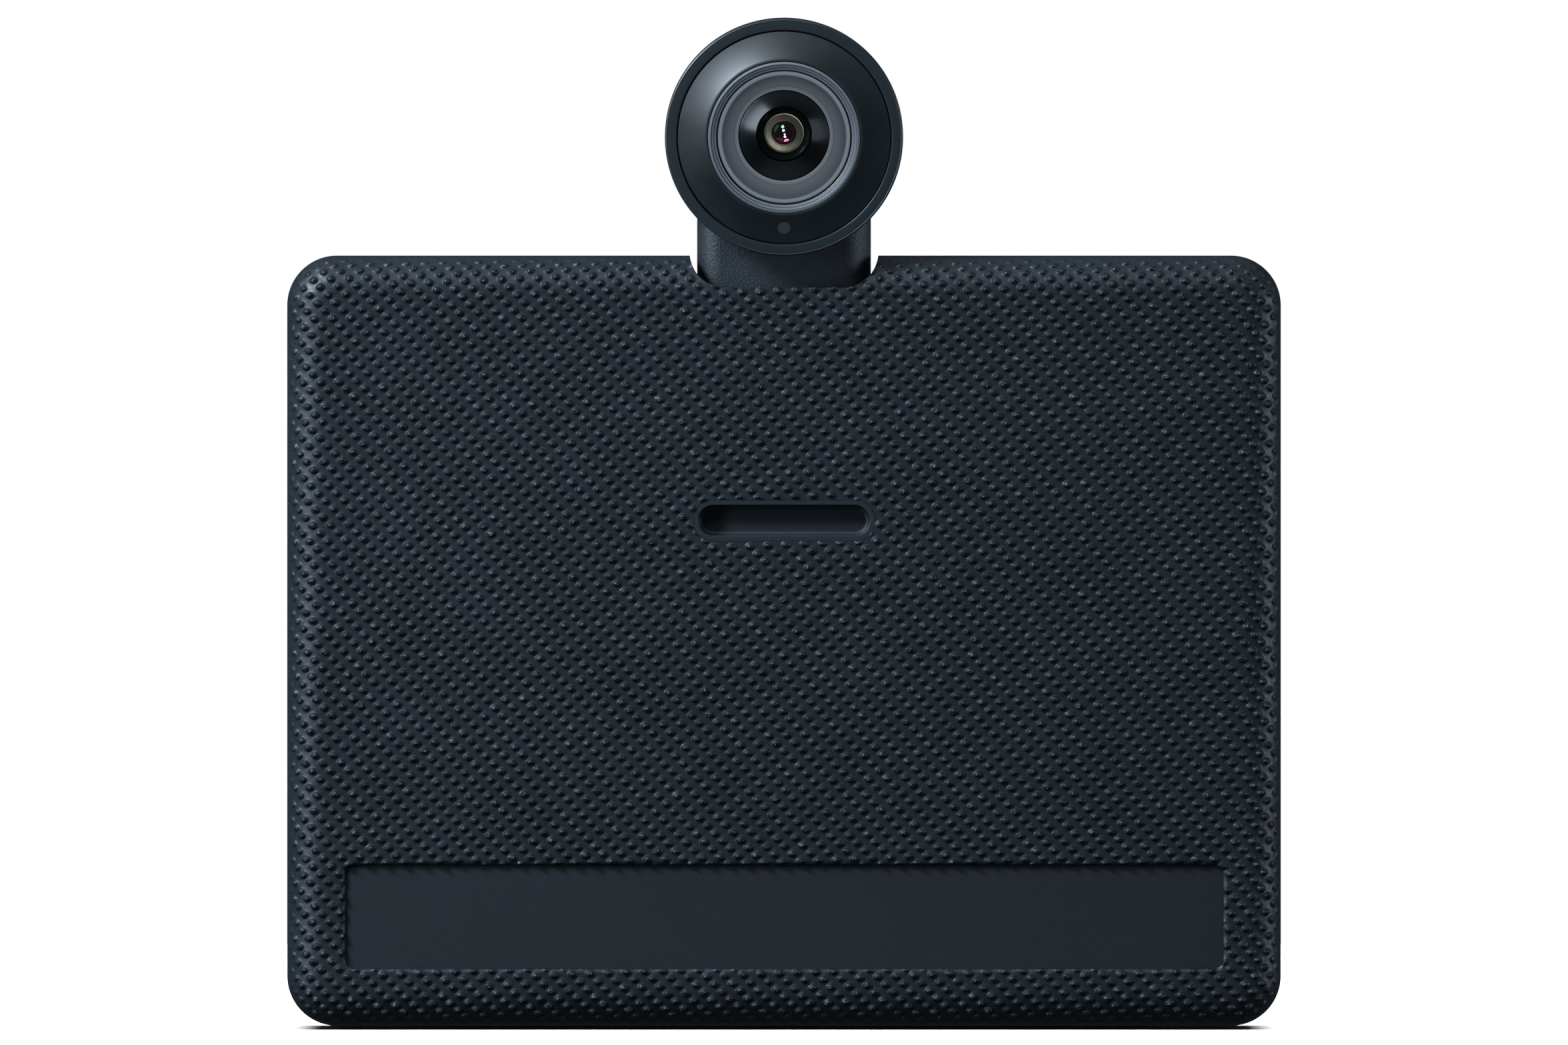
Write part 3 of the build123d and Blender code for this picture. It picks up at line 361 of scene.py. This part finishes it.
def clip(points, tris, clear):
    """Keep the part of the mesh where clear(u, v) is positive, cutting triangles on the line."""
    f = clear(points[:, 0], points[:, 1])
    near = np.abs(f) < 0.02
    f = np.where(near, 0.0, f)
    inside = f >= 0
    full = inside[tris].all(1)
    mixed = tris[inside[tris].any(1) & ~full]
    out, extra, seen = list(tris[full]), [], {}

    def cut(a, b):
        key = (min(a, b), max(a, b))
        if key not in seen:
            t = f[a] / (f[a] - f[b])
            seen[key] = len(points) + len(extra)
            extra.append(points[a] + (points[b] - points[a]) * t)
        return seen[key]

    for tri in mixed:
        ring = []
        for k in range(3):
            a, b = int(tri[k]), int(tri[(k + 1) % 3])
            if inside[a]:
                ring.append(a)
            if inside[a] != inside[b] and f[a] != 0 and f[b] != 0:
                ring.append(cut(a, b))
        for k in range(1, len(ring) - 1):
            out.append((ring[0], ring[k], ring[k + 1]))
    points = np.concatenate([points, np.array(extra)]) if extra else points
    out = np.array([[int(x) for x in t] for t in out])
    used, flat = np.unique(out, return_inverse=True)
    return points[used], flat.reshape(-1, 3)


def build_skin():
    """The whole studded skin, with side walls down to the shell, as one mesh."""
    points, tris = stud_field()
    for clear in (clear_of_rim, clear_of_strip, clear_of_slot, clear_of_notch):
        points, tris = clip(points, tris, clear)
    u, v, h = points.T
    # the skin rolls down to the smooth strip and flattens at the slot and its outer rim
    roll = np.clip(clear_of_strip(u, v) / 0.45, 0, 1)
    h = h * np.clip(clear_of_strip(u, v) / 0.3 + 0.35, 0, 1) - 0.42 * (1 - roll) ** 2
    h = h * np.clip(clear_of_slot(u, v) / 0.5 + 0.1, 0, 1)
    h = h * np.clip(clear_of_rim(u, v) / 0.8, 0, 1)
    # studs get lower round the edges, from 22 to 80 degrees of turn, so the outline stays smooth
    turn = (WRAP_END - clear_of_rim(u, v)) / EDGE
    turn = np.clip((turn - math.radians(22)) / math.radians(58), 0, 1)
    h = h * (1 - turn * turn * (3 - 2 * turn))
    top = wrap(u, v, h - 0.01)
    edges = np.concatenate([tris[:, [0, 1]], tris[:, [1, 2]], tris[:, [2, 0]]])
    _, where, times = np.unique(np.sort(edges, 1), axis=0, return_index=True, return_counts=True)
    rim = edges[where[times == 1]]
    used, flat = np.unique(rim, return_inverse=True)
    flat = flat.reshape(-1, 2)
    upper = len(top) + np.arange(len(used))
    lower = upper + len(used)
    walls = wrap(u[used], v[used], np.full(len(used), -1.1))
    points = np.concatenate([top, top[used], walls]) * MM
    a, b = flat.T
    side = np.concatenate([np.stack((upper[b], upper[a], lower[a]), 1),
                           np.stack((upper[b], lower[a], lower[b]), 1)])
    faces = np.concatenate([tris, side])
    me = bpy.data.meshes.new("grip_skin_studded")
    me.vertices.add(len(points))
    me.vertices.foreach_set("co", points.astype(np.float32).ravel())
    me.loops.add(faces.size)
    me.loops.foreach_set("vertex_index", faces.astype(np.int32).ravel())
    me.polygons.add(len(faces))
    me.polygons.foreach_set("loop_start", np.arange(0, faces.size, 3, dtype=np.int32))
    me.update(calc_edges=True)
    me.validate()
    me.shade_smooth()
    raised = np.zeros(len(points), np.float32)
    raised[:len(h)] = np.clip(1.4 * h / STUD_H - 0.35, 0, 1)
    me.attributes.new("stud", "FLOAT", "POINT").data.foreach_set("value", raised)
    obj = bpy.data.objects.new("grip_skin_studded", me)
    bpy.context.scene.collection.objects.link(obj)
    set_material(obj, M["skin"])
    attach(obj, "case")
    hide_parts("grip_skin")
    return obj


skin = build_skin()
print("skin triangles", len(skin.data.polygons))

# ------------------------------------------------------------------ camera head
TILT = math.radians(6.5)
HEAD = Vector((0, -23.0, 133.75))
OUT = Vector((0, -math.cos(TILT), -math.sin(TILT)))
UP = Vector((0, -math.sin(TILT), math.cos(TILT)))
RIGHT = Vector((1, 0, 0))


def at_head(r, a, t):
    """Point at radius r, angle a from +X towards up, and reach t out of the lens."""
    return (HEAD + RIGHT * (r * math.cos(a)) + UP * (r * math.sin(a)) + OUT * t) * MM


def lathe(name, node, profile, mat, segments=192, sharp=25):
    """Ring or disc turned about the optical axis from a closed (radius, reach) outline."""
    pts, faces, rows = [], [], []
    for r, t in profile:
        if r < 1e-6:
            rows.append([len(pts)] * segments)
            pts.append(at_head(0, 0, t))
        else:
            rows.append(list(range(len(pts), len(pts) + segments)))
            pts += [at_head(r, 2 * math.pi * k / segments, t) for k in range(segments)]
    n = len(rows)
    for m in range(n):
        low, high = rows[m], rows[(m + 1) % n]
        for k in range(segments):
            quad = [low[k], low[(k + 1) % segments], high[(k + 1) % segments], high[k]]
            quad = list(dict.fromkeys(quad))
            if len(quad) > 2:
                faces.append(quad)
    obj = make_object(name, pts, faces, mat, "camera", sharp)
    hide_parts(node)
    return obj


def arc(r0, t0, r1, t1, bulge, steps):
    """Points on a shallow arc between two profile points, bulging to one side."""
    dr, dt = r1 - r0, t1 - t0
    span = math.hypot(dr, dt)
    nr, nt = -dt / span, dr / span
    out = []
    for k in range(steps + 1):
        s = k / steps
        b = 4 * bulge * s * (1 - s)
        out.append((r0 + dr * s + nr * b, t0 + dt * s + nt * b))
    return out


def drill(obj, centre, radius):
    """Cut a round hole along the optical axis right through a piece."""
    bpy.ops.mesh.primitive_cylinder_add(vertices=64, radius=radius * MM, depth=8 * MM, location=centre * MM)
    tool = bpy.context.object
    tool.rotation_euler = OUT.to_track_quat("Z", "Y").to_euler()
    cutter = obj.modifiers.new("hole", "BOOLEAN")
    cutter.operation = "DIFFERENCE"
    cutter.object = tool
    bpy.context.view_layer.update()
    cut = bpy.data.meshes.new_from_object(obj.evaluated_get(bpy.context.evaluated_depsgraph_get()))
    obj.modifiers.clear()
    obj.data = cut
    cut.shade_smooth()
    cut.set_sharp_from_angle(angle=math.radians(25))
    bpy.data.objects.remove(tool)


# Outlines are (radius, reach) in millimetres; reach 0 is the front face of the bezel.
LED_DROP, LED_HOLE_R = 13.6, 0.97
DOME_R, DOME_EDGE, DOME_TOP = 3.74, 1.76, -7.36

lathe("head_bezel_ring", "head_bezel", [
    (14.8, -2.2), (17.85, -2.2), (17.85, -0.32), (17.81, -0.20), (17.68, -0.08), (17.60, -0.05),
    (17.52, -0.09), (16.40, 0.0), (16.22, -0.02), (16.17, -0.06), (16.15, -0.12), (16.15, -1.25),
    (14.8, -1.25),
], M["satin"])
plate = lathe("face_plate_gloss", "face_plate",
              [(11.45, -1.2), (15.98, -1.2), (15.98, -0.66), (15.93, -0.60)]
              + arc(15.88, -0.57, 11.6, -0.06, 0.033, 12) + [(11.50, -0.07), (11.45, -0.12)], M["plate"])
drill(plate, HEAD + UP * -LED_DROP, LED_HOLE_R)
ridge = lathe("ridged_ring_turned", "ridged_ring", [
    (10.15, -1.65), (11.4, -1.65), (11.4, 0.02), (11.36, 0.08), (11.28, 0.1), (11.02, 0.1), (10.96, 0.07),
    (10.88, -0.10), (10.82, -0.12), (10.62, -0.12), (10.56, -0.15), (10.48, -0.30), (10.42, -0.32),
    (10.22, -0.32), (10.16, -0.36), (10.15, -0.42),
], M["ridge"])
dish = lathe("lens_dish_cone", "lens_dish",
             [(6.85, -4.65), (9.95, -4.65), (9.95, -0.66), (9.90, -0.58), (9.82, -0.55), (9.42, -0.55),
              (9.34, -0.58), (9.24, -0.72)] + arc(9.2, -0.78, 7.5, -3.10, 0.2, 10)
             + [(7.44, -3.2), (7.36, -3.26), (6.85, -3.40)], M["dish"])
cup = lathe("lens_cup_gloss", "lens_cup",
            [(6.8, -6.6), (6.8, -3.7), (6.76, -3.63), (6.68, -3.60)]
            + arc(6.6, -3.66, 4.2, -5.35, 0.06, 20) + [(4.15, -5.7), (4.15, -6.6)], M["cup"])
barrel = lathe("lens_barrel_face", "lens_barrel", [
    (2.6, -11.6), (6.0, -11.6), (6.0, -6.65), (4.1, -6.65), (4.1, -6.12), (4.06, -6.04), (3.96, -6.0),
    (3.86, -6.02), (3.66, -6.2), (3.62, -6.36), (3.50, -6.40), (3.44, -6.56), (3.30, -6.60),
    (3.24, -6.74), (3.05, -6.78), (3.05, -7.8), (2.6, -7.8),
], M["gloss"])
brass = lathe("lens_retainer_ring", "lens_retainer", [
    (1.8, -7.75), (3.0, -7.75), (3.0, -6.98), (2.95, -6.90), (2.86, -6.88), (2.80, -6.94), (2.74, -6.98),
    (2.45, -7.06), (2.40, -7.12), (2.05, -7.24), (2.00, -7.30), (1.86, -7.36), (1.8, -7.44),
], M["brass"])
lens = lathe("front_lens_dome", "front_lens",
             [(0, -9.0), (2.55, -9.0), (2.55, -7.82), (1.78, -7.82)]
             + [(r, math.sqrt(DOME_R ** 2 - r * r) - DOME_R + DOME_TOP)
                for r in np.linspace(DOME_EDGE, 0, 14)], M["lens"])

# ------------------------------------------------------------------ stage
bpy.ops.mesh.primitive_circle_add(vertices=96, radius=0.8, fill_type="NGON", location=(0, 0, 0))
floor = bpy.context.object
floor.name = "floor"
set_material(floor, new_material("floor", grey(0.9), 0.6, spec=0.3)[0])
floor.visible_glossy = False
floor.visible_diffuse = False


def toward(azimuth, elevation):
    """Unit vector from the object; azimuth 0 is the photographed side, positive to the right."""
    a, e = math.radians(azimuth), math.radians(elevation)
    return Vector((math.sin(a) * math.cos(e), -math.cos(a) * math.cos(e), math.sin(e)))


world = bpy.data.worlds.new("studio")
bpy.context.scene.world = world
world.use_nodes = True
wn, wl = world.node_tree.nodes, world.node_tree.links
wn.clear()


def sky(name, color, strength, centre=None, inner=0, outer=0):
    """One soft patch of studio light, far away; with no centre it is the same all round."""
    b = wn.new("ShaderNodeBackground")
    b.name = name
    b.inputs["Color"].default_value = (*color, 1)
    b.inputs["Strength"].default_value = strength
    if centre is None:
        return b
    tc = wn.new("ShaderNodeTexCoord")
    dot = wn.new("ShaderNodeVectorMath")
    dot.operation = "DOT_PRODUCT"
    dot.inputs[1].default_value = centre
    wl.new(tc.outputs["Generated"], dot.inputs[0])
    edge = wn.new("ShaderNodeMapRange")
    edge.name = name + "_edge"
    edge.interpolation_type = "SMOOTHSTEP"
    edge.inputs["From Min"].default_value = math.cos(math.radians(outer))
    edge.inputs["From Max"].default_value = math.cos(math.radians(inner))
    edge.inputs["To Max"].default_value = strength
    wl.new(dot.outputs["Value"], edge.inputs["Value"])
    wl.new(edge.outputs["Result"], b.inputs["Strength"])
    return b


COOL, WHITE = (0.75, 0.87, 1.0), (1, 1, 1)
# dim cool light all round with a brighter zenith; the camera itself sees plain white
total = sky("ambient", COOL, 0.05)
add = wn.new("ShaderNodeAddShader")
wl.new(total.outputs[0], add.inputs[0])
wl.new(sky("zenith", COOL, 0.3, toward(0, 88), 15, 60).outputs[0], add.inputs[1])
total = add
seen = sky("seen", WHITE, 1.0)
path = wn.new("ShaderNodeLightPath")
mix = wn.new("ShaderNodeMixShader")
out = wn.new("ShaderNodeOutputWorld")
wl.new(path.outputs["Is Camera Ray"], mix.inputs[0])
wl.new(total.outputs[0], mix.inputs[1])
wl.new(seen.outputs[0], mix.inputs[2])
wl.new(mix.outputs[0], out.inputs["Surface"])


def softbox(name, where, target, size, power, color=COOL, only=None):
    """Area light; with only, it lights just those pieces."""
    data = bpy.data.lights.new(name, "AREA")
    data.energy = power
    data.color = color
    data.shape = "ELLIPSE"
    data.size, data.size_y = size
    obj = bpy.data.objects.new(name, data)
    obj.location = where
    obj.rotation_euler = (Vector(target) - Vector(where)).to_track_quat("-Z", "Y").to_euler()
    obj.visible_camera = False
    bpy.context.scene.collection.objects.link(obj)
    if only:
        group = bpy.data.collections.new(name + "_lights")
        for piece in only:
            group.objects.link(piece)
        obj.light_linking.receiver_collection = group
    return obj


MIDDLE = Vector((0, -0.018, 0.058))
LENS = HEAD * MM
own_light = (cup, lens, plate, brass, dish, floor)
rest = [o for o in bpy.data.objects if o.type == "MESH" and o not in own_light]
screen_side = [nodes[n] for n in ("front_bezel", "cover_glass", "speaker_grille", "rear_shell")]
housing = [nodes["camera_housing"]]
softbox("floor_light", (0, 0.2, 2.5), (0, 0.2, 0), (5.0, 5.0), 380.0, color=WHITE, only=[floor])
# name, lit point, azimuth and elevation of the light, distance, size, watts, pieces lit
for name, target, az, el, distance, size, power, only in (
    ("key", MIDDLE, -58, 37, 0.6, (0.17, 0.17), 4.3, rest),
    ("left", MIDDLE, -56, 4, 0.7, (0.16, 0.5), 1.8, rest),
    ("top", MIDDLE, 0, 50, 0.9, (0.7, 0.3), 1.2, rest),
    ("right", MIDDLE, 84, 5, 0.7, (0.25, 0.5), 1.6, rest),
    ("plate_light", LENS, -18, 9, 1.0, (0.26, 0.26), 9.0, [plate, ridge]),
    ("dish_light", LENS, -3, -1, 1.0, (0.3, 0.3), 14.5, [dish]),
    ("ridge_light", LENS, -6, 2, 1.0, (0.3, 0.3), 4.5, [ridge]),
    ("neck_light", LENS, 56, 0, 0.6, (0.2, 0.2), 1.0, housing),
    ("screen_key", MIDDLE, 150, 40, 0.7, (0.4, 0.4), 5.0, screen_side),
    ("screen_fill", MIDDLE, -140, 15, 0.9, (0.6, 0.6), 4.0, screen_side),
):
    softbox(name, target + toward(az, el) * distance, target, size, power, only=only)
softbox("brass_light", LENS + toward(10, 4) * 0.8, LENS, (0.4, 0.4), 2.0, color=WHITE, only=[brass])
softbox("head_back", MIDDLE + toward(180, 40) * 0.7, LENS, (0.3, 0.3), 2.5, only=housing)


def about_lens(angle, polar, distance):
    """Place round the optical axis: angle from +X towards up, polar from the axis."""
    a, p = math.radians(angle), math.radians(polar)
    side = RIGHT * math.cos(a) + UP * math.sin(a)
    return LENS + (OUT * math.cos(p) + side * math.sin(p)) * distance


# name, angle, polar, distance, size, watts, colour, piece lit
for name, angle, polar, distance, size, power, color, piece in (
    ("cup_light_a", 322, 64, 0.15, 0.12, 0.28, COOL, cup),
    ("cup_light_b", 195, 62, 0.15, 0.10, 0.03, COOL, cup),
    ("barrel_light", 315, 55, 0.3, 0.06, 0.3, (1.0, 0.86, 0.8), barrel),
    ("glint_green", 105, 24, 0.4, 0.097, 0.60, (0.35, 1.0, 0.5), lens),
    ("glint_high", 115, 6, 0.4, 0.086, 0.50, (0.9, 1.0, 1.0), lens),
    ("glint_mid", 282, 13.5, 0.4, 0.054, 0.22, WHITE, lens),
    ("glint_low", 280, 25, 0.4, 0.076, 0.40, (1.0, 0.97, 0.9), lens),
    ("glint_pink", 285, 47, 0.4, 0.15, 1.5, (1.0, 0.25, 0.5), lens),
    ("wash_green", 155, 60, 0.4, 0.4, 0.4, (0.3, 1.0, 0.5), lens),
    ("wash_red", 250, 60, 0.4, 0.4, 0.5, (1.0, 0.08, 0.3), lens),
):
    softbox(name, about_lens(angle, polar, distance), LENS, (size, size), power, color, only=[piece])

# ------------------------------------------------------------------ camera
# level with the middle of the device, far away, with a long lens: almost no perspective
DISTANCE, SENSOR, FRAME_W, EYE_Z = 4.0, 36, 0.2352, 0.0761
cam_data = bpy.data.cameras.new("camera")
cam = bpy.data.objects.new("camera", cam_data)
bpy.context.scene.collection.objects.link(cam)
bpy.context.scene.camera = cam
cam_data.sensor_width = SENSOR
cam_data.lens = SENSOR * DISTANCE / FRAME_W
cam_data.clip_end = 50
cam.location = (0, -0.016 - DISTANCE, EYE_Z)
cam.rotation_euler = (math.radians(90), 0, 0)

scene = bpy.context.scene
scene.view_settings.view_transform = "Standard"
scene.view_settings.look = "None"
